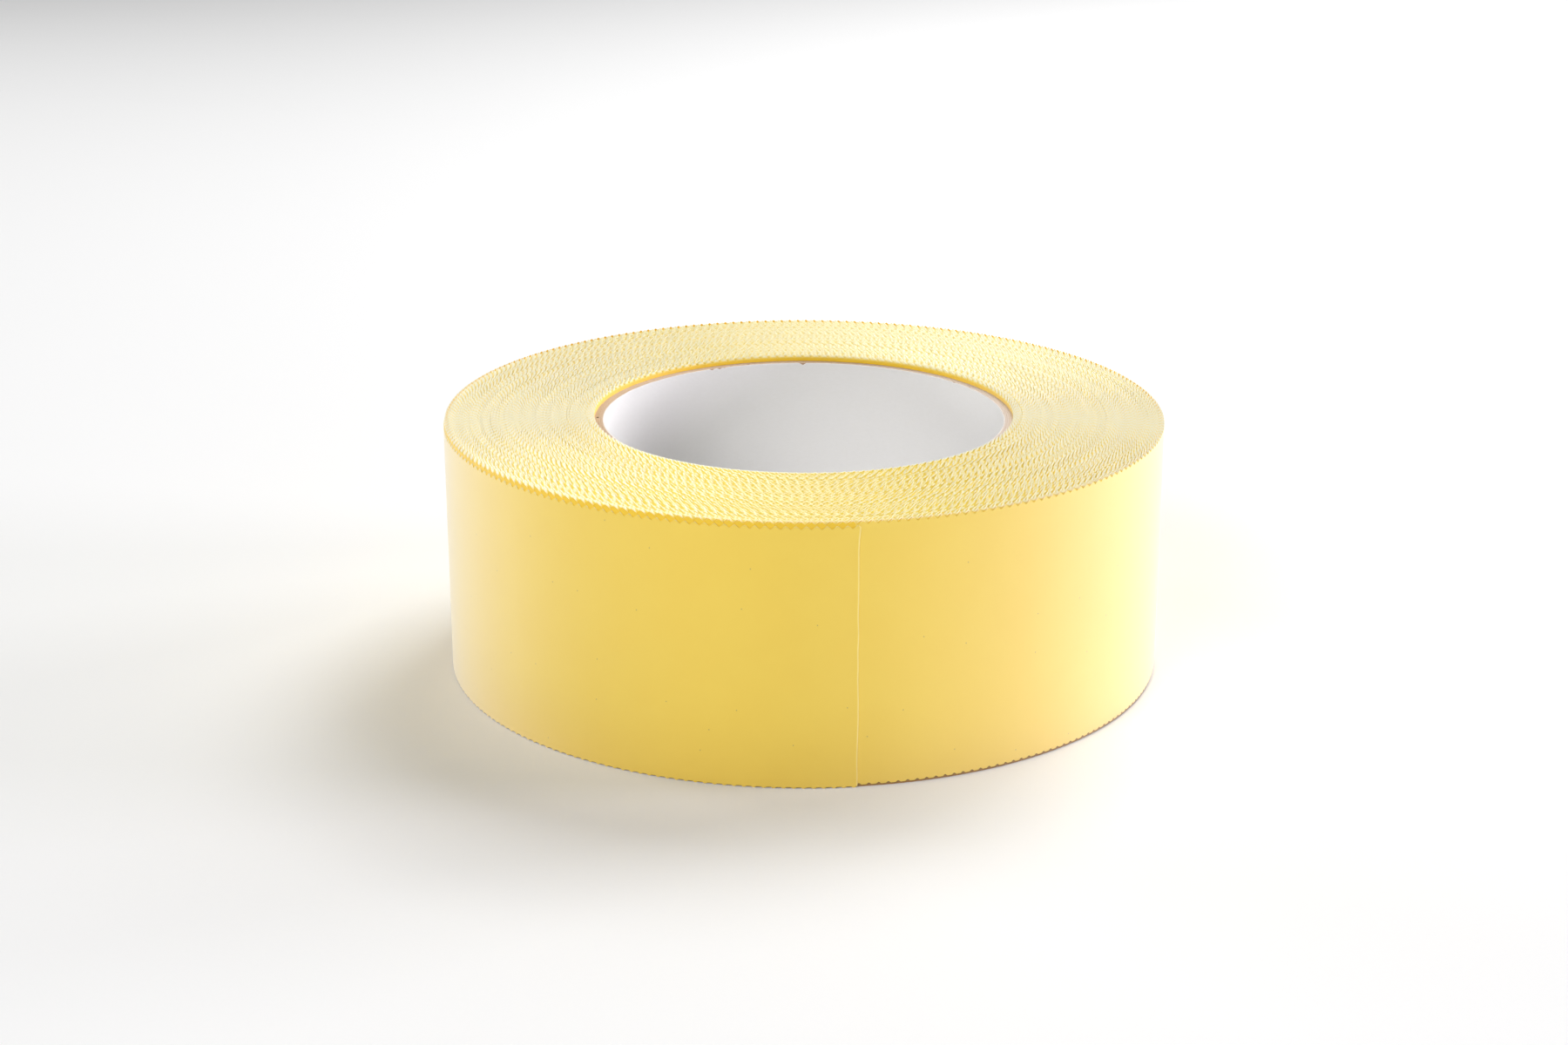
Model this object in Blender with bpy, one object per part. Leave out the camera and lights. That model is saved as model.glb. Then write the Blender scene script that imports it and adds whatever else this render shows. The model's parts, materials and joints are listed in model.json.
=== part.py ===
"""Masking tape roll: a spiral-wound paperboard core, and one strip of pinked-edge film wound on it.

Metres. +Z runs up the roll's axis, and the origin is the middle of the face that the roll lies on.
The strip's loose end is on -Y, a little towards +X. From that end the strip runs clockwise, seen
from above, and each turn lies one film thickness further in.
"""

import math

import bpy

# Paperboard core, from the bore outwards
BORE_DIAMETER = 0.0764
LINER_THICKNESS = 0.00025
KRAFT_THICKNESS = 0.0004
KRAFT_PLIES = 4
GLUE_LINE = 0.00003
CORE_LENGTH = 0.0464
CORE_RECESS = 0.0012
PLY_EDGE_ANGLE = math.radians(33)
PLY_BUTT_GAP = 0.0004
FIRST_PLY_BUTT = math.radians(-150)
PLY_BUTT_STEP = math.radians(76)

# Film strip
ROLL_WIDTH = 0.0485
STRIP_WIDTH = 0.048
TURN_PITCH = 0.000178
TURNS = 160
LAYER_GAP = 0.00002
TOOTH_PITCH = 0.00175
TOOTH_DEPTH = 0.0006
END_ANGLE = math.radians(-82.3)
END_LENGTH_IN_TEETH = 17
CUT_GAP = 0.00006

# Facets
CORE_COLUMNS = 90
ROLL_COLUMNS = 120

# Worked out from the sizes above
CORE_OUTER_RADIUS = BORE_DIAMETER / 2 + LINER_THICKNESS + KRAFT_PLIES * KRAFT_THICKNESS
ROLL_RADIUS = CORE_OUTER_RADIUS + TURNS * TURN_PITCH
CORE_TOP = ROLL_WIDTH - CORE_RECESS
TEETH_PER_TURN = round(2 * math.pi * ROLL_RADIUS / TOOTH_PITCH)
TOOTH_ANGLE = 2 * math.pi / TEETH_PER_TURN
PEEL_TURN = END_LENGTH_IN_TEETH * TOOTH_ANGLE

WHITE_PAPER = ((0.80, 0.80, 0.79, 1.0), 0.75)
KRAFT_BOARD = ((0.45, 0.31, 0.19, 1.0), 0.90)
YELLOW_FILM = ((0.86, 0.60, 0.10, 1.0), 0.40)


def clear_scene():
    for leftover in list(bpy.data.objects):
        bpy.data.objects.remove(leftover)


def plain_material(name, colour, roughness):
    material = bpy.data.materials.new(name)
    material.use_nodes = True
    shader = material.node_tree.nodes["Principled BSDF"]
    shader.inputs["Base Color"].default_value = colour
    shader.inputs["Roughness"].default_value = roughness
    shader.inputs["Metallic"].default_value = 0.0
    return material


def rolled_sheet(name, columns, material, parent, closed=False):
    """Adds a sheet rolled about +Z, as one closed solid.

    columns lists (angle, inner radius, outer radius, bottom, top) in order of rising angle. A column
    whose bottom is its top is a sharp tip. A closed sheet joins its last column to its first.
    """
    vertices = []
    index_of = {}

    def vertex(angle, radius, height):
        place = (radius * math.cos(angle), radius * math.sin(angle), height)
        key = tuple(round(value, 9) for value in place)
        if key not in index_of:
            index_of[key] = len(vertices)
            vertices.append(place)
        return index_of[key]

    rings = []
    for angle, inner, outer, bottom, top in columns:
        corners = ((outer, bottom), (outer, top), (inner, top), (inner, bottom))
        rings.append([vertex(angle, radius, height) for radius, height in corners])

    faces = []

    def add_face(corners):
        face = list(dict.fromkeys(corners))
        if len(face) > 2:
            faces.append(face)

    following = rings[1:] + rings[:1] if closed else rings[1:]
    for here, there in zip(rings, following):
        for side in range(4):
            after = (side + 1) % 4
            add_face((here[side], there[side], there[after], here[after]))
    if not closed:
        add_face(rings[0])
        add_face(reversed(rings[-1]))

    mesh = bpy.data.meshes.new(name)
    mesh.from_pydata(vertices, [], faces)
    mesh.materials.append(material)
    mesh.shade_smooth()
    mesh.set_sharp_from_angle(angle=math.radians(20))
    sheet = bpy.data.objects.new(name, mesh)
    sheet.parent = parent
    bpy.context.scene.collection.objects.link(sheet)
    return sheet


def ply_columns(inner_radius, thickness, butt_angle):
    """One ply of the core, cut from a strip that was wound on a helix.

    The strip's two edges butt along one helix, so the unrolled ply is a parallelogram: a lower tip,
    a stretch of full height, and an upper tip that ends one turn after the lower one began.
    """
    bottom = CORE_TOP - CORE_LENGTH
    climb = CORE_LENGTH / math.tan(PLY_EDGE_ANGLE) / inner_radius
    butt = PLY_BUTT_GAP / math.sin(PLY_EDGE_ANGLE) / inner_radius
    step = 2 * math.pi / CORE_COLUMNS
    climb = round(climb / step) * step
    start = round(butt_angle / step) * step
    lower_edge_end = start + 2 * math.pi - butt
    angles = {start + i * step for i in range(round((2 * math.pi + climb) / step))}
    angles |= {lower_edge_end, lower_edge_end + climb}

    def along_edge(angle, edge_start):
        share = (angle - edge_start) / climb
        return bottom + CORE_LENGTH * min(max(share, 0.0), 1.0)

    return [
        (
            angle,
            inner_radius,
            inner_radius + thickness - GLUE_LINE,
            along_edge(angle, lower_edge_end),
            along_edge(angle, start),
        )
        for angle in sorted(angles)
    ]


def add_core(parent):
    paper = plain_material("white_paper", *WHITE_PAPER)
    kraft = plain_material("kraft_board", *KRAFT_BOARD)
    radius = BORE_DIAMETER / 2
    columns = ply_columns(radius, LINER_THICKNESS, FIRST_PLY_BUTT)
    rolled_sheet("core_liner", columns, paper, parent)
    radius += LINER_THICKNESS
    for ply in range(1, KRAFT_PLIES + 1):
        butt_angle = FIRST_PLY_BUTT + ply * PLY_BUTT_STEP
        columns = ply_columns(radius, KRAFT_THICKNESS, butt_angle)
        rolled_sheet(f"core_ply_{ply}", columns, kraft, parent)
        radius += KRAFT_THICKNESS


def strip_radius(turn_angle):
    """Outer radius of the strip, at this angle back along it from its loose end."""
    return ROLL_RADIUS - TURN_PITCH * turn_angle / (2 * math.pi)


def wound_turn_columns():
    """All the turns under the last one, as a ring with the spiral's step under the loose end."""
    step = 2 * math.pi / ROLL_COLUMNS
    turns = [i * step for i in range(ROLL_COLUMNS, -1, -1)]
    return [
        (
            END_ANGLE - turn,
            CORE_OUTER_RADIUS + LAYER_GAP,
            strip_radius(turn + 2 * math.pi) - LAYER_GAP,
            0.0,
            ROLL_WIDTH,
        )
        for turn in turns
    ]


def strip_columns(first_turn, last_turn):
    """A length of the strip with its pinked edges, between two angles back from its loose end."""
    half_tooth = TOOTH_ANGLE / 2
    first = math.ceil(first_turn / half_tooth - 1e-6)
    last = math.floor(last_turn / half_tooth + 1e-6)
    turns = {first_turn, last_turn} | {i * half_tooth for i in range(first, last + 1)}
    middles = (turn for turn in turns if first_turn <= turn <= last_turn)

    columns = []
    for turn in sorted(middles, reverse=True):
        phase = turn / TOOTH_ANGLE % 1
        notch = TOOTH_DEPTH * (1 - abs(2 * phase - 1))
        outer = strip_radius(turn)
        inner = outer - TURN_PITCH + LAYER_GAP
        columns.append((END_ANGLE - turn, inner, outer, notch, STRIP_WIDTH - notch))
    return columns


def add_tape(parent):
    film = plain_material("yellow_film", *YELLOW_FILM)
    rolled_sheet("tape_wound_turns", wound_turn_columns(), film, parent, closed=True)
    cut = CUT_GAP / ROLL_RADIUS
    columns = strip_columns(PEEL_TURN + cut, 2 * math.pi - cut)
    rolled_sheet("tape_last_turn", columns, film, parent)
    tape_end = rolled_sheet("tape_end", strip_columns(0.0, PEEL_TURN), film, None)

    hinge = bpy.data.objects.new("peel_line", None)
    bpy.context.scene.collection.objects.link(hinge)
    hinge.parent = parent
    angle = END_ANGLE - PEEL_TURN
    radius = strip_radius(PEEL_TURN)
    hinge.location = (radius * math.cos(angle), radius * math.sin(angle), 0.0)
    tape_end.parent = hinge
    tape_end.location = tuple(-value for value in hinge.location)


def main():
    clear_scene()
    roll = bpy.data.objects.new("roll", None)
    bpy.context.scene.collection.objects.link(roll)
    add_core(roll)
    add_tape(roll)


main()
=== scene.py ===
"""A roll of yellow pinked-edge masking tape on a paperboard core, lying in a plain white studio.

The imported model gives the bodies, the boxes and the joint. Every piece is worked out from them
and from the few sizes of the strip and the core that are named here, in metres, with +Z up the
roll's axis. The strip's loose end is on -Y, a little towards +X, and the strip runs clockwise from
it, seen from above. A place on the strip is its length back from that end.
"""

from __future__ import annotations

import json
import logging
import math
from collections.abc import Mapping, Sequence
from dataclasses import dataclass
from enum import Enum

import bpy
import numpy as np
from mathutils import Euler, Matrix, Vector

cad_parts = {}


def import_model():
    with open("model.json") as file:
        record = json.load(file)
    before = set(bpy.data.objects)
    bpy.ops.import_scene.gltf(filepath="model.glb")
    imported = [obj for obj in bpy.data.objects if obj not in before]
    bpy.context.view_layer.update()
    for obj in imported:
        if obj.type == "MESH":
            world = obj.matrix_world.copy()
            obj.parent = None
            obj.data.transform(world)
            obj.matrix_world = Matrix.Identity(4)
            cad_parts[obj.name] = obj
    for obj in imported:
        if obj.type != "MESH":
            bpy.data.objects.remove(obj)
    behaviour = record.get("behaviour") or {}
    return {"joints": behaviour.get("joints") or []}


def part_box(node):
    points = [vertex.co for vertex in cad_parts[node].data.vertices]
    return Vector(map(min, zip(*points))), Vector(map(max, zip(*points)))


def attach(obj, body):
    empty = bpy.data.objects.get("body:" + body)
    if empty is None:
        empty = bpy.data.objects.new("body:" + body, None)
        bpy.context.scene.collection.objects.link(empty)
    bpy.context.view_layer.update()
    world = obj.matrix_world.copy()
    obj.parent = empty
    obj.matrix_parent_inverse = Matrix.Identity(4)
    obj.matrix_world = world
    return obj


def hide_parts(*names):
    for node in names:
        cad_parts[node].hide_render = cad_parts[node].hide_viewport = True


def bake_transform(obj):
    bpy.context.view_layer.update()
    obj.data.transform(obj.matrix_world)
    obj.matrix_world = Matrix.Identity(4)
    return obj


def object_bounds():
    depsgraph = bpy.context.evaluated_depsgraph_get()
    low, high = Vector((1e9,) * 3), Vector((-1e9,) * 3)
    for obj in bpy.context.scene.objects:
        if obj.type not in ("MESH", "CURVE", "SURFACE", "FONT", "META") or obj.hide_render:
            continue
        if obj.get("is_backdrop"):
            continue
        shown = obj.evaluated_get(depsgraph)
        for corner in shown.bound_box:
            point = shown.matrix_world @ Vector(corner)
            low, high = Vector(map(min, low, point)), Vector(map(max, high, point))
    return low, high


log = logging.getLogger("tape_roll")

Colour = tuple[float, float, float]
MM = 0.001
SHARP_EDGE = math.radians(25)
STRIP_MAP = "strip"
STRIP_WIDTH = 48 * MM
TOOTH_DEPTH = 0.64 * MM
# Painted shade: a dark brown for the film's bottom edges, up to this height, standing in for the
# shade under the roll.
BOTTOM_SHADE_HEIGHT = 1.2 * MM
BOTTOM_SHADE: Colour = (0.36, 0.19, 0.05)
FILM_IOR = 1.5
CORE_TO_TAPE = 0.03 * MM


# --- Shader sheets ------------------------------------------------------------


class Wire:
    """A shader socket that Python's operators join to others with Math nodes."""

    def __init__(self, sheet: ShaderSheet, socket: bpy.types.NodeSocket) -> None:
        """Keeps the socket and the sheet that its nodes are added to."""
        self.sheet = sheet
        self.socket = socket

    def _math(self, operation: str, *values: Wire | float) -> Wire:
        """Adds one Math node.

        Args:
            operation: the Math node's operation.
            values: its inputs, in order.

        Returns:
            The node's result.
        """
        node = self.sheet.node("ShaderNodeMath", {"operation": operation}, dict(enumerate(values)))
        return Wire(self.sheet, node.outputs[0])

    def __add__(self, other: Wire | float) -> Wire:
        """This value plus another."""
        return self._math("ADD", self, other)

    __radd__ = __add__

    def __mul__(self, other: Wire | float) -> Wire:
        """This value times another."""
        return self._math("MULTIPLY", self, other)

    __rmul__ = __mul__

    def __sub__(self, other: Wire | float) -> Wire:
        """This value less another."""
        return self._math("SUBTRACT", self, other)

    def __rsub__(self, other: float) -> Wire:
        """A number less this value."""
        return self._math("SUBTRACT", other, self)

    def least(self, other: Wire | float) -> Wire:
        """The smaller of this value and another."""
        return self._math("MINIMUM", self, other)

    def ramp(self, low: float, high: float) -> Wire:
        """Eases from 0 where this value is low to 1 where it is high.

        Args:
            low: the value that gives 0.
            high: the value that gives 1, which may be the smaller of the two.

        Returns:
            The eased share.
        """
        flipped = low > high
        settings = {"interpolation_type": "SMOOTHSTEP"}
        limits = (high, low) if flipped else (low, high)
        node = self.sheet.node(
            "ShaderNodeMapRange",
            settings,
            {"Value": self, "From Min": limits[0], "From Max": limits[1]},
        )
        share = Wire(self.sheet, node.outputs["Result"])
        return 1.0 - share if flipped else share


class ShaderSheet:
    """The node sheet of one material, with its Principled shader."""

    def __init__(self, name: str) -> None:
        """Starts a material of this name."""
        self.material = bpy.data.materials.new(name)
        self.material.use_nodes = True
        self.tree = self.material.node_tree
        self.shader = self.tree.nodes["Principled BSDF"]

    def node(
        self,
        kind: str,
        settings: Mapping[str, object] | None = None,
        inputs: Mapping[str | int, object] | None = None,
    ) -> bpy.types.Node:
        """Adds a node.

        Args:
            kind: the node's type.
            settings: its properties, which are set first.
            inputs: what goes into its sockets, by name or number: a Wire or a plain value.

        Returns:
            The node.
        """
        node = self.tree.nodes.new(kind)
        for name, setting in (settings or {}).items():
            setattr(node, name, setting)
        for key, value in (inputs or {}).items():
            self.feed(node.inputs[key], value)
        return node

    def feed(self, socket: bpy.types.NodeSocket, value: object) -> None:
        """Links a Wire to a socket, or sets a plain value on it.

        Args:
            socket: the socket.
            value: the Wire, or the value.
        """
        if isinstance(value, Wire):
            self.tree.links.new(value.socket, socket)
        else:
            socket.default_value = value

    def set(self, **inputs: object) -> None:
        """Feeds the Principled shader's sockets, whose names are given with _ for each space."""
        for name, value in inputs.items():
            self.feed(self.shader.inputs[name.replace("_", " ")], value)

    def place(self) -> Wire:
        """The object coordinates."""
        return Wire(self, self.node("ShaderNodeTexCoord").outputs["Object"])

    def along_strip(self) -> Wire:
        """The piece's own map: the length along the strip and the height, in metres."""
        return Wire(self, self.node("ShaderNodeUVMap", {"uv_map": STRIP_MAP}).outputs["UV"])

    def below_tips(self, strip: Wire) -> Wire:
        """How far in from the nearer edge's tips a place on the strip is, in tooth depths."""
        height = self.axis(strip, "Y")
        return (STRIP_WIDTH - height).least(height) * (1 / TOOTH_DEPTH)

    def shaded_bottom(self, strip: Wire) -> Wire:
        """Whether a place is on the strip's bottom edge, painted dark brown as shade, eased from 0
        to 1.
        """
        return self.axis(strip, "Y").ramp(BOTTOM_SHADE_HEIGHT, BOTTOM_SHADE_HEIGHT * 0.8)

    def stretched(self, place: Wire, scale: Sequence[float]) -> Wire:
        """The place, scaled on each axis."""
        node = self.node("ShaderNodeMapping", None, {"Vector": place, "Scale": scale})
        return Wire(self, node.outputs["Vector"])

    def axis(self, place: Wire, name: str) -> Wire:
        """One axis of a place."""
        return Wire(self, self.node("ShaderNodeSeparateXYZ", None, {0: place}).outputs[name])

    def noise(self, place: Wire, scale: float, detail: float = 2.0, rough: float = 0.5) -> Wire:
        """Perlin noise of a place, from 0 to 1."""
        inputs = {"Vector": place, "Scale": scale, "Detail": detail, "Roughness": rough}
        return Wire(self, self.node("ShaderNodeTexNoise", None, inputs).outputs["Fac"])

    def spots(self, place: Wire, scale: float) -> Wire:
        """The distance to the nearest of the points scattered over a place's first two axes.

        Args:
            place: the place.
            scale: how many points there are to a metre.

        Returns:
            The distance, as a share of the points' spacing.
        """
        settings = {"voronoi_dimensions": "2D"}
        node = self.node("ShaderNodeTexVoronoi", settings, {"Vector": place, "Scale": scale})
        return Wire(self, node.outputs["Distance"])

    def blend(self, share: Wire | float, first: Colour | Wire, second: Colour | Wire) -> Wire:
        """Mixes two colours.

        Args:
            share: 0 for the first colour and 1 for the second.
            first: a colour.
            second: a colour.

        Returns:
            The mixed colour.
        """
        node = self.node("ShaderNodeMix", {"data_type": "RGBA"}, {0: share})
        for socket in node.inputs:
            if socket.identifier in ("A_Color", "B_Color"):
                value = first if socket.identifier == "A_Color" else second
                self.feed(socket, value if isinstance(value, Wire) else (*value, 1.0))
        result = next(s for s in node.outputs if s.identifier == "Result_Color")
        return Wire(self, result)

    def from_axis(self) -> Wire:
        """The distance from the roll's axis.

        Returns:
            The distance, in metres.
        """
        flat = self.stretched(self.place(), (1.0, 1.0, 0.0))
        node = self.node("ShaderNodeVectorMath", {"operation": "LENGTH"}, {0: flat})
        return Wire(self, node.outputs["Value"])

    def relief(self, height: Wire, depth: float) -> Wire:
        """A normal bumped by a height from 0 to 1, times depth in metres."""
        node = self.node("ShaderNodeBump", None, {"Height": height, "Distance": depth})
        return Wire(self, node.outputs["Normal"])


# --- Finishes -----------------------------------------------------------------


@dataclass(frozen=True)
class FilmFinish:
    """The film's smooth faces: faint mottling, a few dusty specks, and a painted highlight along
    the cut.

    The faces are darker towards the bottom edge, as painted shade from the floor, up to the height
    given below.
    """

    name: str = "yellow_film_face"
    colour: Colour = (0.95, 0.665, 0.036)
    mottled: Colour = (0.945, 0.655, 0.032)
    # Painted highlight colour, for along the loose end's cut.
    cut_highlight: Colour = (0.97, 0.75, 0.13)
    # Painted shade colour, for towards the bottom edge.
    shaded_low: Colour = (0.78, 0.49, 0.005)
    dust_and_lit_side: Colour = (0.42, 0.27, 0.06)
    roughness: float = 0.42
    sheen: float = 1.0
    sheen_roughness: float = 0.62
    mottle_size: float = 9 * MM
    grain_size: float = 0.8 * MM
    grain_depth: float = 0.004 * MM
    cut_highlight_width: float = 0.22 * MM
    shaded_low_height: float = 17 * MM
    shaded_low_share: float = 0.9
    dust_spacing: float = 13 * MM
    dust_radius: float = 0.16 * MM
    dust_share: float = 0.7

    def make(self) -> bpy.types.Material:
        """Makes the material.

        Returns:
            The material.
        """
        sheet = ShaderSheet(self.name)
        strip = sheet.along_strip()
        mottle = sheet.noise(strip, 1 / self.mottle_size, 3.0)
        body = sheet.blend(mottle.ramp(0.35, 0.65), self.colour, self.mottled)
        # Painted highlight: paler yellow along the cut, where the rounded end catches the light.
        cut_glint = sheet.axis(strip, "X").ramp(self.cut_highlight_width * 1.15, self.cut_highlight_width * 0.85)
        body = sheet.blend(cut_glint, body, self.cut_highlight)
        # Painted shade: darker yellow towards the bottom edge, where the floor shades the wall.
        low_shade = sheet.axis(strip, "Y").ramp(self.shaded_low_height, -self.shaded_low_height)
        body = sheet.blend(low_shade * self.shaded_low_share, body, self.shaded_low)
        reach = self.dust_radius / self.dust_spacing
        speck = sheet.spots(strip, 1 / self.dust_spacing).ramp(reach, reach * 0.4)
        grain = sheet.noise(strip, 1 / self.grain_size, 3.0)
        sheet.set(
            Base_Color=sheet.blend(speck * self.dust_share, body, self.dust_and_lit_side),
            Roughness=grain * 0.08 + (self.roughness - 0.04),
            Normal=sheet.relief(grain, self.grain_depth),
            IOR=FILM_IOR,
            Sheen_Weight=self.sheen,
            Sheen_Roughness=self.sheen_roughness,
        )
        return sheet.material


@dataclass(frozen=True)
class CutFilmFinish:
    """The film's cut edges: a pale painted glow at the teeth's tips, and deeper yellow painted
    where light has further to come, as the shade down in the valleys.

    The bottom edge is painted dark brown, as the shade under the roll.
    """

    name: str = "yellow_film_cut"
    tip: Colour = (1.0, 0.985, 0.82)
    valley: Colour = (1.0, 0.78, 0.09)
    valley_depths: tuple[float, float] = (0.35, 0.95)
    grain_size: float = 0.5 * MM
    grain_share: float = 0.3
    roughness: float = 0.5
    sheen: float = 0.3
    sheen_roughness: float = 0.6

    def make(self) -> bpy.types.Material:
        """Makes the material.

        Returns:
            The material.
        """
        sheet = ShaderSheet(self.name)
        strip = sheet.along_strip()
        grain = sheet.noise(strip, 1 / self.grain_size) * self.grain_share
        depth = sheet.below_tips(strip) + grain
        # Painted light: a pale glow at the tips, deepening to painted shade in the valleys.
        body = sheet.blend(depth.ramp(*self.valley_depths), self.tip, self.valley)
        # Painted shade: dark brown along the bottom edge.
        sheet.set(
            Base_Color=sheet.blend(sheet.shaded_bottom(strip), body, BOTTOM_SHADE),
            Roughness=self.roughness,
            IOR=FILM_IOR,
            Sheen_Weight=self.sheen,
            Sheen_Roughness=self.sheen_roughness,
        )
        return sheet.material


@dataclass(frozen=True)
class PackedFilmFinish:
    """The film's faces between the turns: a painted glow near the cut edges, deeper further in.

    The glow reaches some tooth depths in, less on the film's side than on the adhesive's. The
    deeper yellows are kept bright, as painted light coming through the film. The outermost turns,
    within the outer reach, are plain film without the painted glow, and their bottom edges are
    painted dark brown as shade. The innermost turns, within the bared radius, stand bare above the
    core and are plainer too. Each range of depths is in tooth depths below the tips.
    """

    name: str
    glowing: Colour
    glow_reach: float
    middle: Colour = (1.0, 0.83, 0.17)
    deep: Colour = (1.0, 0.79, 0.13)
    deep_depths: tuple[float, float] = (0.9, 2.4)
    plain_film: Colour = (0.95, 0.62, 0.022)
    outer_reach: float = 1.35
    bared_radius: float = 0.0
    bared_depths: tuple[float, float] = (0.4, 1.3)
    roughness: float = 0.5
    sheen: float = 0.3
    sheen_roughness: float = 0.6

    def make(self) -> bpy.types.Material:
        """Makes the material.

        Returns:
            The material.
        """
        sheet = ShaderSheet(self.name)
        strip = sheet.along_strip()
        depth = sheet.below_tips(strip)
        # Painted light: a glow near the cut edges, fading to a deeper yellow kept bright as light
        # through the film.
        body = sheet.blend(depth.ramp(0.0, self.glow_reach), self.glowing, self.middle)
        body = sheet.blend(depth.ramp(*self.deep_depths), body, self.deep)
        outer = sheet.axis(strip, "X").ramp(self.outer_reach, self.outer_reach * 0.9)
        body = sheet.blend(outer, body, self.plain_film)
        bared = sheet.from_axis().ramp(self.bared_radius, self.bared_radius * 0.999)
        body = sheet.blend(bared * depth.ramp(*self.bared_depths), body, self.plain_film)
        # Painted shade: dark brown along the outer turns' bottom edges.
        sheet.set(
            Base_Color=sheet.blend(sheet.shaded_bottom(strip) * outer, body, BOTTOM_SHADE),
            Roughness=self.roughness,
            IOR=FILM_IOR,
            Sheen_Weight=self.sheen,
            Sheen_Roughness=self.sheen_roughness,
        )
        return sheet.material


@dataclass(frozen=True)
class AdhesiveFinish:
    """The rubber adhesive on the film's inner face: smooth amber, streaked along the strip."""

    name: str = "adhesive"
    colour: Colour = (0.80, 0.52, 0.08)
    streaked: Colour = (0.86, 0.60, 0.14)
    streak_width: float = 0.7 * MM
    streak_depth: float = 0.01 * MM
    streak_stretch: tuple[float, float, float] = (0.06, 1.0, 1.0)

    def make(self) -> bpy.types.Material:
        """Makes the material.

        Returns:
            The material.
        """
        sheet = ShaderSheet(self.name)
        drawn_out = sheet.stretched(sheet.along_strip(), self.streak_stretch)
        streaks = sheet.noise(drawn_out, 1 / self.streak_width, 3.0)
        sheet.set(
            Base_Color=sheet.blend(streaks.ramp(0.4, 0.7), self.colour, self.streaked),
            Roughness=streaks * 0.15 + 0.12,
            Normal=sheet.relief(streaks, self.streak_depth),
            IOR=FILM_IOR,
        )
        return sheet.material


@dataclass(frozen=True)
class PaperFinish:
    """A paper or board face: two tones of fibre, laid a little along the sheet."""

    name: str
    colour: Colour
    fibre: Colour
    roughness: float
    relief: float
    cloud_size: float = 6 * MM
    fibre_size: float = 0.9 * MM
    fibre_stretch: tuple[float, float, float] = (1.0, 1.0, 2.5)

    def make(self) -> bpy.types.Material:
        """Makes the material.

        Returns:
            The material.
        """
        sheet = ShaderSheet(self.name)
        place = sheet.place()
        cloud = sheet.noise(place, 1 / self.cloud_size)
        laid = sheet.stretched(place, self.fibre_stretch)
        fibres = sheet.noise(laid, 1 / self.fibre_size, 5.0, 0.65)
        tone = fibres.ramp(0.38, 0.66) * 0.75 + cloud * 0.25
        sheet.set(
            Base_Color=sheet.blend(tone, self.colour, self.fibre),
            Roughness=self.roughness,
            Normal=sheet.relief(fibres, self.relief),
            Specular_IOR_Level=0.3,
        )
        return sheet.material


@dataclass(frozen=True)
class SawnBoardFinish:
    """The core's sawn ends: brown fibre, painted lighter towards +X as the light of the key on that
    side.
    """

    name: str = "kraft_board_sawn"
    colour: Colour = (0.57, 0.41, 0.28)
    fibre: Colour = (0.70, 0.54, 0.41)
    lit_colour: Colour = (0.80, 0.68, 0.60)
    fibre_size: float = 0.25 * MM
    fibre_depth: float = 0.05 * MM
    lit_from: float = 5 * MM
    lit_to: float = 35 * MM
    lit_share: float = 0.9
    drift_size: float = 4 * MM
    drift_reach: float = 10 * MM

    def make(self) -> bpy.types.Material:
        """Makes the material.

        Returns:
            The material.
        """
        sheet = ShaderSheet(self.name)
        place = sheet.place()
        fibres = sheet.noise(place, 1 / self.fibre_size, 4.0, 0.7)
        brown = sheet.blend(fibres.ramp(0.35, 0.7), self.colour, self.fibre)
        drift = sheet.noise(place, 1 / self.drift_size) * self.drift_reach
        # Painted light: the sawn end is lighter towards +X, where the key light falls.
        dust_and_lit_side = (sheet.axis(place, "X") + drift).ramp(self.lit_from, self.lit_to)
        sheet.set(
            Base_Color=sheet.blend(dust_and_lit_side * self.lit_share, brown, self.lit_colour),
            Roughness=0.92,
            Normal=sheet.relief(fibres, self.fibre_depth),
            Specular_IOR_Level=0.2,
        )
        return sheet.material


@dataclass(frozen=True)
class FloorFinish:
    """The studio's white paper floor."""

    name: str = "studio_paper"
    colour: Colour = (0.89, 0.89, 0.885)
    grain_size: float = 0.8 * MM
    grain_share: float = 0.985

    def make(self) -> bpy.types.Material:
        """Makes the material.

        Returns:
            The material.
        """
        sheet = ShaderSheet(self.name)
        grain = sheet.noise(sheet.place(), 1 / self.grain_size, 3.0)
        darker = tuple(channel * self.grain_share for channel in self.colour)
        sheet.set(Base_Color=sheet.blend(grain, self.colour, darker), Roughness=0.85)
        return sheet.material


# Both carry a painted glow near the cut edges, reaching further on the adhesive's side.
PACKED_FACE = PackedFilmFinish("yellow_film_packed_face", (1.0, 0.92, 0.40), 0.3)
PACKED_BACK = PackedFilmFinish(
    "yellow_film_packed_back", (1.0, 0.97, 0.70), 1.1, bared_radius=40.40 * MM
)
LINER_PAPER = PaperFinish(
    "white_liner_paper", (0.86, 0.85, 0.84), (0.845, 0.835, 0.82), 0.6, 0.006 * MM
)
KRAFT_FACE = PaperFinish(
    "kraft_board_face", (0.46, 0.31, 0.19), (0.56, 0.40, 0.26), 0.85, 0.02 * MM
)
# The torn edge's paler colour is partly the torn paper's own white and partly a painted highlight.
LINER_EDGE = PaperFinish(
    "white_liner_torn", (0.95, 0.90, 0.87), (0.84, 0.74, 0.67), 0.85, 0.03 * MM
)


# --- Surfaces -----------------------------------------------------------------


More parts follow.
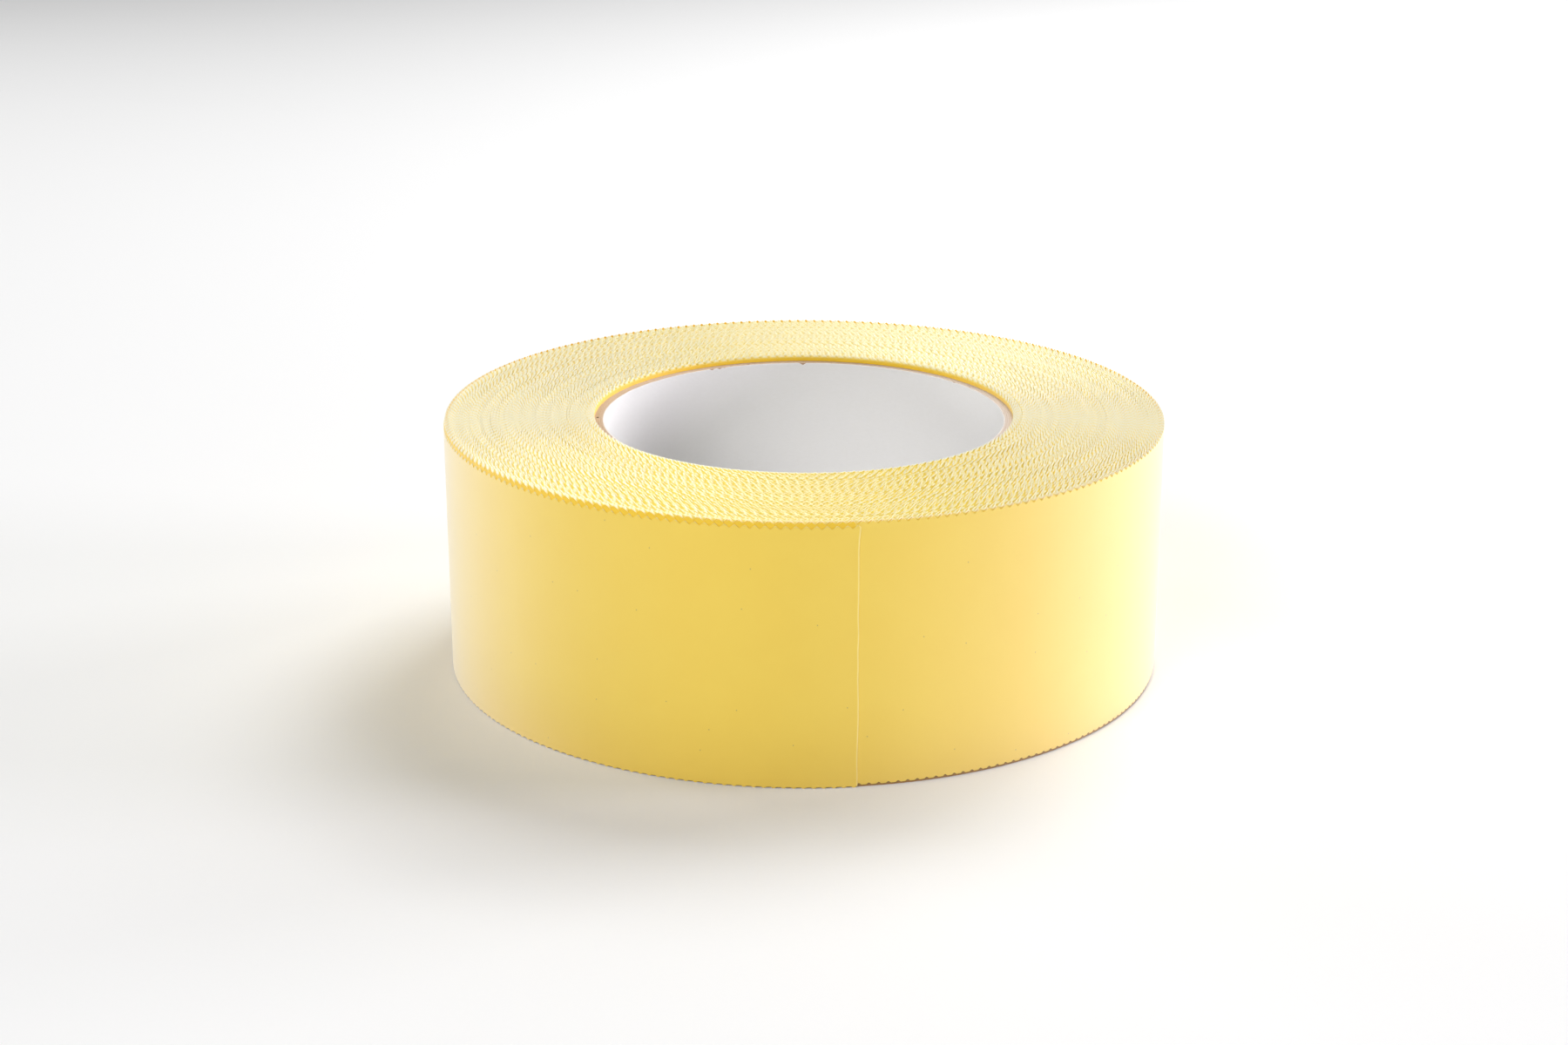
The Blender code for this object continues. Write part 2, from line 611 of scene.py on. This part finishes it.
def wander(places: np.ndarray, seed: int, fastest: float, waves: int = 24) -> np.ndarray:
    """A smooth random curve, from about -1 to 1.

    It is a sum of cosines, cos(2 pi f x + phase), whose frequencies f are spread about evenly up
    to the fastest and whose heights fall as 1 / (1 + f).

    Args:
        places: x.
        seed: which curve.
        fastest: the highest frequency, per unit of x.
        waves: how many cosines.

    Returns:
        The curve at each place.
    """
    random = np.random.default_rng(seed)
    unevenness = random.uniform(-0.3, 0.3, waves) * fastest / waves
    frequencies = np.linspace(fastest / waves, fastest, waves) + unevenness
    phases = random.uniform(0, 2 * np.pi, waves)
    heights = 1 / (1 + frequencies)
    cosines = zip(heights, frequencies, phases)
    total = sum(h * np.cos(2 * np.pi * f * places + p) for h, f, p in cosines)
    return total / (1.5 * np.sqrt((heights**2).sum()))


def ragged(places: np.ndarray, seed: int, spacing: float) -> np.ndarray:
    """Random heights from 0 to 1 at even spacing, with straight runs between them.

    Args:
        places: where the heights are wanted.
        seed: which heights.
        spacing: the distance from one random height to the next.

    Returns:
        The height at each place.
    """
    steps = (places - places.min()) / spacing
    heights = np.random.default_rng(seed).uniform(0, 1, int(steps.max()) + 2)
    return np.interp(steps, np.arange(len(heights)), heights)


def ease(share: np.ndarray) -> np.ndarray:
    """Smoothstep: 3 x^2 - 2 x^3, held at 0 and 1 outside the range."""
    held = np.clip(share, 0, 1)
    return held * held * (3 - 2 * held)


def on_roll(angle: np.ndarray, radius: np.ndarray, height: np.ndarray) -> np.ndarray:
    """Points at an angle round the axis, a radius and a height, all of one grid shape."""
    angle, radius, height = np.broadcast_arrays(angle, radius, height)
    return np.stack((radius * np.cos(angle), radius * np.sin(angle), height), axis=-1)


def sheet_solid(
    name: str,
    outer: np.ndarray,
    inner: np.ndarray,
    face: bpy.types.Material,
    back: bpy.types.Material,
    rim: bpy.types.Material,
    strip_map: np.ndarray | None = None,
) -> bpy.types.Object:
    """Closes a thin sheet from the grids of its two faces.

    Point (i, j) of the outer grid is vertex i * across + j, and the inner grid's points follow in
    the same order. Each grid gives its own quads, and a band of quads round the border joins
    them. The solid's signed volume, the sum of (a x b) . c over its triangles, tells if it is
    inside out.

    Args:
        name: the piece's name.
        outer: points of the outer face, (along, across, 3).
        inner: points of the inner face, of the same shape.
        face: the material of the outer face.
        back: the material of the inner face.
        rim: the material of the cut edges.
        strip_map: (along, across, 2) coordinates for the piece's own map, if its faces use one.

    Returns:
        The piece, with its place in its mesh.
    """
    along, across = outer.shape[:2]
    count = along * across
    index = np.arange(count).reshape(along, across)
    corners = (index[:-1, :-1], index[1:, :-1], index[1:, 1:], index[:-1, 1:])
    front = np.stack(corners, -1).reshape(-1, 4)
    border = np.concatenate((index[:-1, 0], index[-1, :-1], index[:0:-1, -1], index[0, :0:-1]))
    after = np.roll(border, -1)
    band = np.stack((after, border, border + count, after + count), -1)
    quads = np.concatenate((front, front[:, ::-1] + count, band))
    points = np.concatenate((outer.reshape(-1, 3), inner.reshape(-1, 3)))
    a, b, c, d = (points[quads[:, corner]] for corner in range(4))
    volume = (np.cross(a, b) * c).sum() + (np.cross(a, c) * d).sum()
    if volume < 0:
        quads = quads[:, ::-1]

    mesh = bpy.data.meshes.new(name)
    mesh.vertices.add(len(points))
    mesh.vertices.foreach_set("co", points.astype(np.float32).ravel())
    mesh.loops.add(quads.size)
    mesh.loops.foreach_set("vertex_index", quads.astype(np.int32).ravel())
    mesh.polygons.add(len(quads))
    mesh.polygons.foreach_set("loop_start", np.arange(0, quads.size, 4, dtype=np.int32))
    sides = np.minimum(np.arange(len(quads), dtype=np.int32) // len(front), 2)
    mesh.polygons.foreach_set("material_index", sides)
    if strip_map is not None:
        layer = mesh.uv_layers.new(name=STRIP_MAP)
        both = np.tile(strip_map.reshape(-1, 2), (2, 1))
        layer.data.foreach_set("uv", both[quads.ravel()].astype(np.float32).ravel())
    for material in (face, back, rim):
        mesh.materials.append(material)
    mesh.update(calc_edges=True)
    mesh.validate()
    mesh.shade_smooth()
    mesh.set_sharp_from_angle(angle=SHARP_EDGE)
    piece = bpy.data.objects.new(name, mesh)
    bpy.context.scene.collection.objects.link(piece)
    return piece


# --- The tape -----------------------------------------------------------------


@dataclass(frozen=True)
class Drift:
    """A change of the turns' level, which comes in over some turns from a starting one."""

    amount: float
    start: float
    turns: float

    def at(self, turn: np.ndarray) -> np.ndarray:
        """The change at a place in turns: the amount times ease((turn - start) / turns)."""
        return self.amount * ease((turn - self.start) / self.turns)


@dataclass(frozen=True)
class TapeStrip:
    """The strip's sizes, and the spiral that it is wound on.

    The spiral's radius is R - p phi / 2 pi, at the angle phi back from the loose end, and the
    length along it is R phi - p phi^2 / 4 pi, where R is the roll's radius and p the turn pitch.
    Each pair for the low notches is for the loose end and for the edge further back. Levels are
    shares of the room that the top edge has to rise in, and low levels of the low room.
    """

    roll_radius: float
    core_radius: float
    end_angle: float
    peel_angle: float
    turn_pitch: float = 0.178 * MM
    thickness: float = 0.168 * MM
    width: float = STRIP_WIDTH
    tooth_depth: float = TOOTH_DEPTH
    low_tooth_depth: tuple[float, float] = (0.24 * MM, 0.36 * MM)
    low_notch_width: tuple[float, float] = (0.40, 0.26)
    low_notch_place: tuple[float, float] = (0.70, 0.17)
    low_bluntness: tuple[float, float] = (2.4, 1.0)
    pressed_flat: float = 0.7
    teeth_in_last_turn: float = 246.5
    most_creep: float = 0.14
    room: float = 0.80 * MM
    last_turn_level: float = 0.94
    drifts: tuple[Drift, ...] = (Drift(-0.22, 1.2, 8), Drift(0.2, 110, 40))
    core_drop: float = 0.3
    core_turns: float = 3.5
    wander_level: float = 0.15
    groove_depth: float = 0.42
    groove_turns: float = 1.3
    groove_from_core: float = 9.0
    low_room: float = 0.42 * MM
    low_last_turn_level: float = 0.95
    low_wander_level: float = 0.08

    @property
    def turns(self) -> float:
        """How many turns lie between the core and the roll's outside."""
        return (self.roll_radius - self.core_radius) / self.turn_pitch

    @property
    def tooth_pitch(self) -> float:
        """The length of one tooth, from the number of teeth in the last turn."""
        return float(self.length(2 * np.pi)) / self.teeth_in_last_turn

    def length(self, phi: np.ndarray | float) -> np.ndarray:
        """The length along the spiral from the loose end to the angle phi."""
        return self.roll_radius * phi - self.turn_pitch * np.square(phi) / (4 * np.pi)

    def phi(self, length: np.ndarray) -> np.ndarray:
        """The angle back from the loose end, which solves the length's formula for phi."""
        inside = self.roll_radius**2 - self.turn_pitch * length / np.pi
        return (self.roll_radius - np.sqrt(inside)) * 2 * np.pi / self.turn_pitch

    def high_notch(self, length: np.ndarray, sharpness: float) -> np.ndarray:
        """How deep the pinked top edge is cut at each length.

        The zigzag is arccos(sharpness * cos(2 pi x)) / pi, with x the length in teeth, which is a
        straight-sided zigzag where sharpness is 1 and has rounded tips and valleys just below it.

        Args:
            length: where along the strip.
            sharpness: 1 for sharp teeth, and a little less for rounded ones.

        Returns:
            The depth.
        """
        wave = np.cos(2 * np.pi * length / self.tooth_pitch)
        return self.tooth_depth * np.arccos(sharpness * np.clip(wave, -1, 1)) / np.pi

    def low_notch(self, length: np.ndarray) -> np.ndarray:
        """How deep the bottom edge is cut at each length: notches between broad scallops.

        It is the depth times (1 - d / w) s, held from 0 to 1, where d is the distance from the
        notch in teeth, w is its half width and s its bluntness. The notches are shallow, wide and
        blunt at the loose end, where the edge has been pressed down, and sharp further back, where
        s is 1. Under the last turn they are pressed nearly flat.

        Args:
            length: where along the strip.

        Returns:
            The depth.
        """
        turn = self.phi(length) / (2 * np.pi)
        sharp = self.settled(turn)
        centre, depth, width, bluntness = (
            first + (later - first) * sharp
            for first, later in (
                self.low_notch_place,
                self.low_tooth_depth,
                self.low_notch_width,
                self.low_bluntness,
            )
        )
        teeth = length / self.tooth_pitch - centre
        away = np.abs(teeth - np.round(teeth))
        open_share = 1 - self.pressed_flat * self.under(turn)
        return depth * open_share * np.clip(bluntness * (1 - away / width), 0, 1)

    def creep(self, length: np.ndarray) -> np.ndarray:
        """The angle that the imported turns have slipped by, up to a share of a tooth.

        Args:
            length: where along the strip.

        Returns:
            The angle.
        """
        turn = self.phi(length) / (2 * np.pi)
        share = self.most_creep * wander(turn, 13, 3.1) * ease(turn - 1.3)
        return share * self.tooth_pitch / self.roll_radius

    def settled(self, turn: np.ndarray) -> np.ndarray:
        """How far a place in turns is back from the end that has slipped down, from 0 to 1."""
        return ease((turn - 0.32) / 0.5)

    def under(self, turn: np.ndarray) -> np.ndarray:
        """Whether a place in turns is under the last turn, eased from 0 to 1."""
        return ease((turn - 1.002) / 0.01)

    def high_rise(self, phi: np.ndarray) -> np.ndarray:
        """How far the top edge lies above one strip's width, as it was never wound quite level.

        The last turn has slipped down to the floor over its first half. The turns under it wander
        and drift, the ones at the core are sunk a little, and so are a few in a groove near it,
        whose depth falls off from its middle as exp(-x^2).

        Args:
            phi: the angle back from the loose end.

        Returns:
            The rise.
        """
        turn = phi / (2 * np.pi)
        level = self.last_turn_level * self.settled(turn)
        for drift in self.drifts:
            level = level + drift.at(turn)
        at_core = (turn - self.turns + self.core_turns) / self.core_turns
        level = level - self.core_drop * ease(at_core)
        loose = self.wander_level * wander(turn, 11, 2.6) * ease((turn - 1) / 2)
        from_groove = (self.turns - turn - self.groove_from_core) / self.groove_turns
        groove = self.groove_depth * np.exp(-(from_groove**2))
        return self.room * np.clip(level + loose - groove, 0, 1)

    def low_rise(self, phi: np.ndarray) -> np.ndarray:
        """How far the bottom edge lies above the floor.

        The last turn is on the floor at its loose end and off it a turn further back, and the
        turns under it hang lower than that, each by its own amount.

        Args:
            phi: the angle back from the loose end.

        Returns:
            The rise.
        """
        turn = phi / (2 * np.pi)
        under = self.under(turn)
        last = self.low_last_turn_level * self.settled(turn)
        loose = self.low_wander_level + self.low_wander_level * wander(turn, 12, 2.6)
        return self.low_room * np.clip(last * (1 - under) + loose * under, 0, 1)

    def face(
        self,
        length: np.ndarray,
        share: np.ndarray,
        inset: np.ndarray | float,
        sharpness: float = 1.0,
    ) -> np.ndarray:
        """Points on the strip.

        Args:
            length: where along the strip.
            share: where across it, from 0 at the bottom edge to 1 at the top edge.
            inset: how far in from the strip's outer face.
            sharpness: as for high_notch.

        Returns:
            The points, of the shape that the three give together.
        """
        phi = self.phi(length) + self.creep(length)
        radius = self.roll_radius - self.turn_pitch * phi / (2 * np.pi) - inset
        low = self.low_rise(phi) + self.low_notch(length)
        high = self.width + self.high_rise(phi) - self.high_notch(length, sharpness)
        return on_roll(self.end_angle - phi, radius, low + share * (high - low))

    def flat(self, length: np.ndarray, share: np.ndarray, sharpness: float = 1.0) -> np.ndarray:
        """The places on the unrolled strip, which the pieces carry as their own map.

        Args:
            length: where along the strip.
            share: where across it, as for face.
            sharpness: as for high_notch.

        Returns:
            The length and the height at each place.
        """
        low = self.low_notch(length)
        high = self.width - self.high_notch(length, sharpness)
        return np.stack((length, low + share * (high - low)), -1)

    def ribbon(
        self,
        name: str,
        places: np.ndarray,
        sharpness: float,
        materials: tuple[bpy.types.Material, bpy.types.Material, bpy.types.Material],
    ) -> bpy.types.Object:
        """A stretch of the strip at its full thickness, from its bottom edge to its top edge.

        Args:
            name: the piece's name.
            places: the lengths that it has columns at.
            sharpness: as for high_notch.
            materials: those of its outer face, its inner face and its cut edges.

        Returns:
            The piece.
        """
        length, share = np.meshgrid(places, (0.0, 1.0), indexing="ij")
        outer = self.face(length, share, 0.0, sharpness)
        inner = self.face(length, share, self.thickness, sharpness)
        return sheet_solid(name, outer, inner, *materials, self.flat(length, share, sharpness))


class WoundLayer(Enum):
    """The groups of turns under the last one, with where each starts and stops on the strip.

    Both are shares of the strip under the last turn, from the outside in.
    """

    OUTER = ("film_turns_outer", 0.0, 0.25)
    UPPER_MIDDLE = ("film_turns_second", 0.25, 0.5)
    LOWER_MIDDLE = ("film_turns_third", 0.5, 0.75)
    INNER = ("film_turns_inner", 0.75, 1.0)


@dataclass(frozen=True)
class TapeRoll:
    """All the tape on the roll: one strip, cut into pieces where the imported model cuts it.

    The turns under the last one are cut three times more, to keep each piece's mesh small.
    """

    strip: TapeStrip
    film: bpy.types.Material
    packed_face: bpy.types.Material
    packed_back: bpy.types.Material
    cut: bpy.types.Material
    adhesive: bpy.types.Material
    under_end: float = 0.4 * MM
    columns_per_tooth: int = 10
    rounded: float = 0.99
    film_only: float = 0.14 * MM
    thinnest: float = 0.02 * MM
    end_rows: int = 81
    shoulder: float = 0.24 * MM
    shoulder_share: float = 0.7
    lift: float = 0.03 * MM
    lift_reach: float = 1.2 * MM
    past_end_in_mm: float = 0.32
    wave_reach: float = 3 * MM
    adhesive_inset: float = 0.06 * MM
    adhesive_setback: float = 0.05 * MM
    adhesive_gap: float = 0.002 * MM
    blend_reach: float = 29 * MM

    def teeth(self, start: float, stop: float, per_tooth: int) -> np.ndarray:
        """Column places, with the teeth's tips and valleys among them.

        Args:
            start: the first place.
            stop: the last place.
            per_tooth: how many columns a tooth has.

        Returns:
            The lengths along the strip, in order.
        """
        step = self.strip.tooth_pitch / per_tooth
        first = math.ceil(start / step + 0.01)
        last = math.floor(stop / step - 0.01)
        return np.concatenate(([start], np.arange(first, last + 1) * step, [stop]))

    def wound_turns(self) -> list[bpy.types.Object]:
        """Builds the turns under the last one, a column at every tip and valley.

        Returns:
            The pieces, from the outside in.
        """
        first = float(self.strip.length(2 * np.pi)) + self.under_end
        last = float(self.strip.length(2 * np.pi * self.strip.turns))
        pieces = []
        for layer in WoundLayer:
            name, start, stop = layer.value
            places = self.teeth(first + (last - first) * start, first + (last - first) * stop, 2)
            materials = (self.packed_face, self.packed_back, self.cut)
            piece = self.strip.ribbon(name, places, 1.0, materials)
            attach(piece, "roll")
            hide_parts("tape_wound_turns")
            pieces.append(piece)
        return pieces

    def last_turn(self) -> bpy.types.Object:
        """Builds the outermost turn, from the peel line round to just under the loose end.

        Returns:
            The piece.
        """
        start = float(self.strip.length(self.strip.peel_angle))
        stop = float(self.strip.length(2 * np.pi)) + self.under_end
        places = self.teeth(start, stop, self.columns_per_tooth)
        materials = (self.film, self.packed_back, self.cut)
        piece = self.strip.ribbon("film_last_turn", places, self.rounded, materials)
        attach(piece, "roll")
        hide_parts("tape_last_turn")
        return piece

    def end_grid(self) -> tuple[np.ndarray, np.ndarray, np.ndarray]:
        """The loose end's grid, whose first columns follow the wavy cut.

        The cut's line is a slow wave and a fast one, drawn out a little at the top edge, and lies
        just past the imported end. All of that fades out back along the strip, over the wave's
        reach. The film's outer corner is rounded over like a shoulder: its inset is a share of
        the thickness times (1 - x)^2, with x the distance from the cut over the shoulder's length.
        The film is lifted outwards a little near the cut.

        Returns:
            The length, the share across and the outer face's inset at each point.
        """
        near = np.linspace(0, 1, 9) ** 1.5 * 2 * self.shoulder
        stop = float(self.strip.length(self.strip.peel_angle))
        rest = self.teeth(near[-1], stop, self.columns_per_tooth)[1:]
        columns = np.concatenate((near, rest))
        length, share = np.meshgrid(columns, np.linspace(0, 1, self.end_rows), indexing="ij")
        line_in_mm = 0.10 * wander(share, 5, 9.0) + 0.035 * wander(share, 6, 60.0)
        line_in_mm = line_in_mm - 0.15 * ease((share - 0.94) / 0.06)
        fade = 1 - ease(length / self.wave_reach)
        wave = (line_in_mm - self.past_end_in_mm) * MM * fade
        x = np.clip(length / self.shoulder, 0, 1)
        inset = self.strip.thickness * self.shoulder_share * (1 - x) ** 2
        inset = inset - self.lift * (1 - ease(length / self.lift_reach))
        return length + wave, share, inset

    def loose_end(self) -> list[bpy.types.Object]:
        """Builds the film of the loose end, and the adhesive on its inner face.

        Returns:
            The two pieces.
        """
        length, share, inset = self.end_grid()
        strip = self.strip
        film_back = np.maximum(inset + self.thinnest, self.film_only)
        outer = strip.face(length, share, inset, self.rounded)
        inner = strip.face(length, share, film_back, self.rounded)
        strip_map = strip.flat(length, share, self.rounded)
        strip_map[..., 0] -= strip_map[0, :, 0]
        materials = (self.film, self.film, self.cut)
        film = sheet_solid("film_loose_end", outer, inner, *materials, strip_map)

        held_in = self.adhesive_inset / strip.width
        back_share = held_in + share * (1 - 2 * held_in)
        back = length + self.adhesive_setback
        film_side = self.film_only + self.adhesive_gap
        outer = strip.face(back, back_share, film_side, self.rounded)[:-1]
        inner = strip.face(back, back_share, strip.thickness, self.rounded)[:-1]
        materials = (self.adhesive,) * 3
        glue = sheet_solid("adhesive_loose_end", outer, inner, *materials, strip_map[:-1])

        middle = np.array(0.5)
        peel_line = strip.length(strip.peel_angle)
        hinge = strip.face(peel_line, middle, 0.0)
        tip_side = strip.face(peel_line - self.blend_reach, middle, 0.0)
        for piece in (film, glue):
            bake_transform(piece)
            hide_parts("tape_end")
        return [film, glue]


# --- The core -----------------------------------------------------------------


@dataclass(frozen=True)
class CorePly:
    """One ply of the core, cut from a strip wound on a helix.

    Unrolled it is a parallelogram. The point a share u round it and a share v up it is at the
    angle butt + v climb + u (2 pi - gap), where climb is the angle that its slanted edge covers.
    """

    node: str
    inner_radius: float
    thickness: float
    bottom: float
    top: float
    butt_angle: float
    edge_angle: float = math.radians(33)
    butt_gap: float = 0.3 * MM
    columns: int = 1080
    fray: float = 0.07 * MM
    nicks: int = 0
    nick_depth: float = 6.0

    def shape(
        self, name: str, face: bpy.types.Material, rim: bpy.types.Material, seed: int
    ) -> bpy.types.Object:
        """Builds the ply, with a frayed top end.

        The fray is the sum of a fine and a coarse ragged line. Each nick in it has the depth
        exp(-x^2), with x the distance from its middle over its half width.

        Args:
            name: the piece's name.
            face: the material of its inner and outer faces.
            rim: the material of its cut ends.
            seed: which fraying.

        Returns:
            The piece.
        """
        ends = np.array((0, 0.12, 0.4, 1.0, 3.0)) * MM / (self.top - self.bottom)
        rows = np.concatenate((ends, np.linspace(0.12, 0.88, 6), 1 - ends[::-1]))
        round_it, up_it = np.meshgrid(np.linspace(0, 1, self.columns), rows, indexing="ij")
        tall = self.top - self.bottom
        climb = tall / math.tan(self.edge_angle) / self.inner_radius
        gap = self.butt_gap / math.sin(self.edge_angle) / self.inner_radius
        angle = self.butt_angle + up_it * climb + round_it * (2 * np.pi - gap)

        arc = angle[:, 0] * self.inner_radius
        torn = ragged(arc, seed, 0.5 * MM) * 0.6 + ragged(arc, seed + 1, 1.7 * MM) * 0.4
        places = np.random.default_rng(seed + 2).uniform(arc.min(), arc.max(), self.nicks)
        sizes = np.random.default_rng(seed + 3).uniform(0.3, 1.0, self.nicks)
        for place, size in zip(places, sizes):
            across = (arc - place) / (0.22 * MM + 0.25 * MM * size)
            torn = torn + self.nick_depth * size * np.exp(-(across**2))
        near_top = ease((up_it - rows[-5]) / (1 - rows[-5]))
        height = self.bottom + up_it * tall - self.fray * torn[:, None] * near_top
        lean = self.fray * 0.5 * (ragged(arc, seed + 4, 0.35 * MM)[:, None] - 0.5) * near_top
        outer = on_roll(angle, self.inner_radius + self.thickness + np.minimum(lean, 0), height)
        inner = on_roll(angle, self.inner_radius + np.maximum(lean, 0), height)
        return sheet_solid(name, outer, inner, face, face, rim)


@dataclass(frozen=True)
class PaperCore:
    """The core: a white liner inside four kraft plies, whose butts are staggered round it."""

    kraft: bpy.types.Material
    sawn: bpy.types.Material
    liner: bpy.types.Material
    torn: bpy.types.Material
    liner_thickness: float = 0.25 * MM
    kraft_thickness: float = 0.40 * MM
    glue_line: float = 0.02 * MM
    kraft_plies: int = 4
    first_butt: float = math.radians(-150)
    butt_step: float = math.radians(76)
    liner_nicks: int = 16
    liner_seed: int = 40

    def build(self) -> list[bpy.types.Object]:
        """Builds every ply from the bore outwards.

        Returns:
            The pieces.
        """
        low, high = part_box("core_liner")
        ends = (low.z, high.z)
        radius = high.x - self.liner_thickness + self.glue_line
        wall = self.liner_thickness - self.glue_line
        butt = self.first_butt
        ply = CorePly("core_liner", radius, wall, *ends, butt, nicks=self.liner_nicks)
        piece = ply.shape("liner_ply", self.liner, self.torn, self.liner_seed)
        pieces = [self.finish(ply, piece, "white_paper")]
        radius += self.liner_thickness
        wall = self.kraft_thickness - self.glue_line
        for number in range(1, self.kraft_plies + 1):
            butt = self.first_butt + number * self.butt_step
            ply = CorePly(f"core_ply_{number}", radius, wall, *ends, butt)
            seed = self.liner_seed + 10 * number
            piece = ply.shape(f"kraft_ply_{number}", self.kraft, self.sawn, seed)
            pieces.append(self.finish(ply, piece, "kraft_board"))
            radius += self.kraft_thickness
        return pieces

    def finish(self, ply: CorePly, piece: bpy.types.Object, slot: str) -> bpy.types.Object:
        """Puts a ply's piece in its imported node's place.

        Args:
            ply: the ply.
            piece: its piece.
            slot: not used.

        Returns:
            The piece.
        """
        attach(piece, "roll")
        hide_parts(ply.node)
        return piece


# --- The studio ---------------------------------------------------------------


@dataclass(frozen=True)
class SoftLight:
    """A square soft light that faces the roll."""

    name: str
    place: tuple[float, float, float]
    width: float
    power: float
    colour: Colour = (1.0, 1.0, 1.0)

    def hang(self, target: Vector) -> None:
        """Hangs the light and turns it to the target.

        Args:
            target: the point that it faces.
        """
        lamp = bpy.data.lights.new(self.name, "AREA")
        lamp.shape = "SQUARE"
        lamp.size = self.width
        lamp.energy = self.power
        lamp.color = self.colour
        light = bpy.data.objects.new(self.name, lamp)
        light.location = self.place
        light.rotation_euler = (target - Vector(self.place)).to_track_quat("-Z", "Y").to_euler()
        bpy.context.scene.collection.objects.link(light)


@dataclass(frozen=True)
class Studio:
    """The white floor, the lights and the camera."""

    floor_width: float = 8.0
    world_colour: Colour = (1.0, 1.0, 1.0)
    world_strength: float = 0.02
    camera_place: tuple[float, float, float] = (0.0, -512.5 * MM, 197.7 * MM)
    camera_pitch: float = math.radians(18.55)
    camera_yaw: float = 0.0074
    lens: float = 64.04
    lights: tuple[SoftLight, ...] = (
        SoftLight("high_behind_right", (0.34, 0.60, 0.98), 0.6, 8.1),
        SoftLight("key_behind_right", (0.49, 0.85, 0.69), 0.6, 3.4),
        SoftLight("low_behind_right", (1.02, 0.59, 0.21), 0.35, 8.2),
        SoftLight("low_right", (1.18, 0.0, 0.21), 0.35, 7.8, (1.0, 0.96, 1.08)),
        SoftLight("fill_front_left", (-0.49, -0.85, 0.69), 0.6, 8.5),
        SoftLight("low_behind_left", (-1.02, 0.59, 0.21), 0.35, 4.6),
    )

    def build(self, target: Vector) -> None:
        """Builds the studio.

        Args:
            target: the point that the lights face.
        """
        self.lay_floor()
        self.light_world()
        for light in self.lights:
            light.hang(target)
        self.set_camera()
        bpy.context.scene.view_settings.view_transform = "Standard"

    def lay_floor(self) -> None:
        """Lays the floor at z = 0."""
        half = self.floor_width / 2
        mesh = bpy.data.meshes.new("floor")
        corners = [(-half, -half, 0), (half, -half, 0), (half, half, 0), (-half, half, 0)]
        mesh.from_pydata(corners, [], [(0, 1, 2, 3)])
        mesh.materials.append(FloorFinish().make())
        floor = bpy.data.objects.new("floor", mesh)
        bpy.context.scene.collection.objects.link(floor)
        floor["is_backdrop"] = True

    def light_world(self) -> None:
        """Surrounds the studio with even light."""
        world = bpy.data.worlds.new("studio")
        world.use_nodes = True
        background = world.node_tree.nodes["Background"]
        background.inputs["Color"].default_value = (*self.world_colour, 1.0)
        background.inputs["Strength"].default_value = self.world_strength
        bpy.context.scene.world = world

    def set_camera(self) -> None:
        """Sets the camera in front of the roll, looking down at it a little."""
        camera = bpy.data.cameras.new("camera")
        camera.lens = self.lens
        camera.sensor_width = 36.0
        camera.clip_start = 0.01
        body = bpy.data.objects.new("camera", camera)
        body.location = self.camera_place
        body.rotation_euler = Euler((math.pi / 2 - self.camera_pitch, 0.0, self.camera_yaw))
        bpy.context.scene.collection.objects.link(body)
        bpy.context.scene.camera = body


# --- The build ----------------------------------------------------------------


def measured_strip(frame: Mapping[str, object]) -> TapeStrip:
    """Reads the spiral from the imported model: the peel joint, the loose end's box and the core's.


    Returns:
        The strip.
    """
    hinge = Vector(frame["joints"][0]["pos_m"])
    low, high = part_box("tape_end")
    roll_radius = -low.y
    end_angle = -math.acos(high.x / roll_radius)
    peel_angle = end_angle - math.atan2(hinge.y, hinge.x)
    core_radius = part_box("core_ply_4")[1].x + CORE_TO_TAPE
    return TapeStrip(roll_radius, core_radius, end_angle, peel_angle)


def main() -> None:
    """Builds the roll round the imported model, then the studio."""
    logging.basicConfig(level=logging.INFO, format="%(message)s")
    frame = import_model()
    packed_box = [[float(value) for value in corner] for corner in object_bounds()]

    strip = measured_strip(frame)
    log.info("strip: %.1f turns, tooth pitch %.3f mm", strip.turns, strip.tooth_pitch / MM)
    finishes = (FilmFinish(), PACKED_FACE, PACKED_BACK, CutFilmFinish(), AdhesiveFinish())
    roll = TapeRoll(strip, *(finish.make() for finish in finishes))
    papers = (KRAFT_FACE, SawnBoardFinish(), LINER_PAPER, LINER_EDGE)
    core = PaperCore(*(finish.make() for finish in papers))
    pieces = [*roll.wound_turns(), roll.last_turn(), *roll.loose_end(), *core.build()]
    for piece in pieces:
        log.info("%s: %d faces", piece.name, len(piece.data.polygons))

    Studio().build(Vector((0.0, 0.0, packed_box[1][2] / 2)))


if __name__ == "__main__":
    main()
